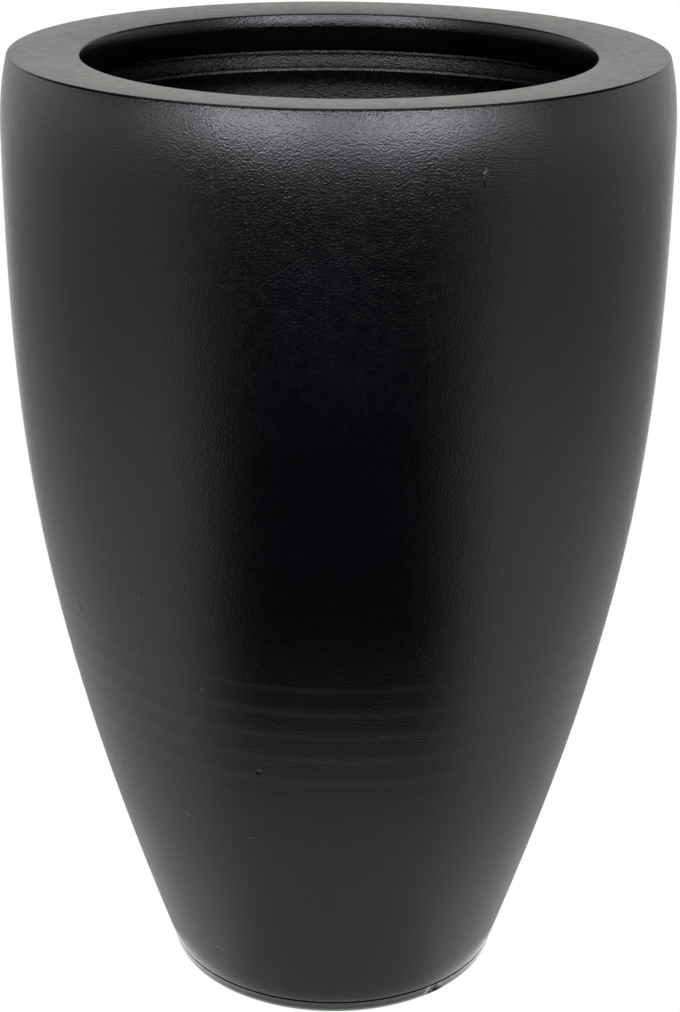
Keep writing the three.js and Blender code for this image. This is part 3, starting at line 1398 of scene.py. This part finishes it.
@dataclass(frozen=True)
class PhotoCamera:
    """Camera at the photograph's place, worked out from the rim's and the foot's ellipses."""

    distance: float = 1.3317
    above_rim: float = 0.212
    pitch: float = 20.85
    roll: float = 0.42
    focal_pixels: float = 2193.0
    frame_height: int = 1012
    axis_offset: float = 4.3
    sensor: float = 36.0

    def build(self, rim_z: float) -> None:
        """Adds the camera and makes it the scene's.

        Args:
            rim_z: height of the rim.
        """
        data = bpy.data.cameras.new("photo_camera")
        data.sensor_width = self.sensor
        data.lens = self.focal_pixels / self.frame_height * self.sensor
        data.shift_x = self.axis_offset / self.frame_height
        camera = add_object("photo_camera", data)
        camera.location = (0.0, -self.distance, rim_z + self.above_rim)
        camera.rotation_mode = "XYZ"
        camera.rotation_euler = (math.radians(90 - self.pitch), 0.0, 0.0)
        camera.rotation_euler.rotate_axis("Z", math.radians(self.roll))
        bpy.context.scene.camera = camera


# ---- Whole planter ----

CASTING_MARKS = (
    Mark(-38, 41 * MM, 5 * MM, 3 * MM, -0.5 * MM),
    Mark(-57, 23 * MM, 9 * MM, 4 * MM, -0.5 * MM),
    Mark(-57.6, 285 * MM, 5 * MM, 8 * MM, 0.35 * MM),
    Mark(-37, 315 * MM, 4 * MM, 5 * MM, 0.2 * MM),
    Mark(-26, 260 * MM, 4 * MM, 3 * MM, -0.25 * MM),
    Mark(-15.4, 206 * MM, 5 * MM, 5 * MM, -0.3 * MM),
    Mark(-35, 160 * MM, 4 * MM, 6 * MM, 0.25 * MM),
    Mark(-19, 153 * MM, 3 * MM, 3 * MM, 0.25 * MM),
    Mark(-56.4, 172 * MM, 5 * MM, 4 * MM, -0.25 * MM),
    Mark(59, 538 * MM, 4 * MM, 7 * MM, -0.3 * MM),
    Mark(22.6, 572 * MM, 4 * MM, 13 * MM, 0.3 * MM),
)
BODY_COAT = SatinCoat("satin_black_coat", marks=CASTING_MARKS)
RIM_COAT = SatinCoat(
    "satin_black_rim",
    grain_height=0.03 * MM,
    pimple_height=0.005 * MM,
    line_height=0.0,
    wave_height=0.0,
    ring_height=0.035 * MM,
)
FACE_COAT = SatinCoat(
    "satin_black_face",
    smooth_roughness=0.12,
    dull_roughness=0.16,
    grain_height=0.03 * MM,
    pimple_height=0.0,
    wave_height=0.05 * MM,
)
COVE_COAT = SatinCoat(
    "satin_black_cove",
    smooth_roughness=0.24,
    dull_roughness=0.34,
    grain_scale=700.0,
    grain_stretch=1.3,
    grain_height=0.3 * MM,
)
RESIN = PlainFinish("cured_resin", (0.003, 0.003, 0.0032, 1.0), 0.3, 60.0, 0.3, 240.0, 0.1 * MM)
RUBBER = PlainFinish("moulded_rubber", (0.012, 0.012, 0.012, 1.0), 0.62, 90.0, 0.2, 900.0, 0.03 * MM)
FOAM = PlainFinish("rigid_foam", (0.72, 0.64, 0.46, 1.0), 0.9, 120.0, 0.1, 700.0, 0.2 * MM)


def main() -> None:
    """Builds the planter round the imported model, then the studio and the camera."""
    logging.basicConfig(level=logging.INFO, format="%(name)s: %(message)s")
    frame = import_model()
    log.info("packed nodes: %s", ", ".join(frame["nodes"]))
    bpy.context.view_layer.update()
    bpy.context.scene.view_settings.view_transform = "Standard"

    rim_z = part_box("lip_ring")[1][2]
    wall = WallLine(height=rim_z, belly_radius=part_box("body_shell")[1][0])
    upper_low, upper_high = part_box("lip_fillet")
    lower_low, lower_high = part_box("base_fillet")
    plug_low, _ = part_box("drain_plug")

    coat = BODY_COAT.build(wall)
    laminate = BareLaminate().build()
    resin = RESIN.build()
    lip_finishes = {
        LipFace.OUTSIDE: coat,
        LipFace.TOP: RIM_COAT.build(),
        LipFace.MOUTH: FACE_COAT.build(),
        LipFace.COVE: COVE_COAT.build(),
        LipFace.BACK: laminate,
    }

    base = Base(wall)
    lip = Lip(wall, rim_z)
    pieces = [
        Shell(wall, base.band, rim_z - lip.cap).build(coat, laminate),
        lip.build(lip_finishes),
        Core(lip).build(FOAM.build()),
        base.build(coat),
        Fillet(wall, "lip_fillet", upper_high[2], upper_low[2]).build(resin),
        Fillet(wall, "base_fillet", lower_low[2], lower_high[2]).build(resin),
        Plug(base.recess + base.floor, plug_low[2]).build(RUBBER.build()),
    ]
    for piece in pieces:
        piece.join_frame()

    Studio(rim_z).build()
    PhotoCamera().build(rim_z)


if __name__ == "__main__":
    main()
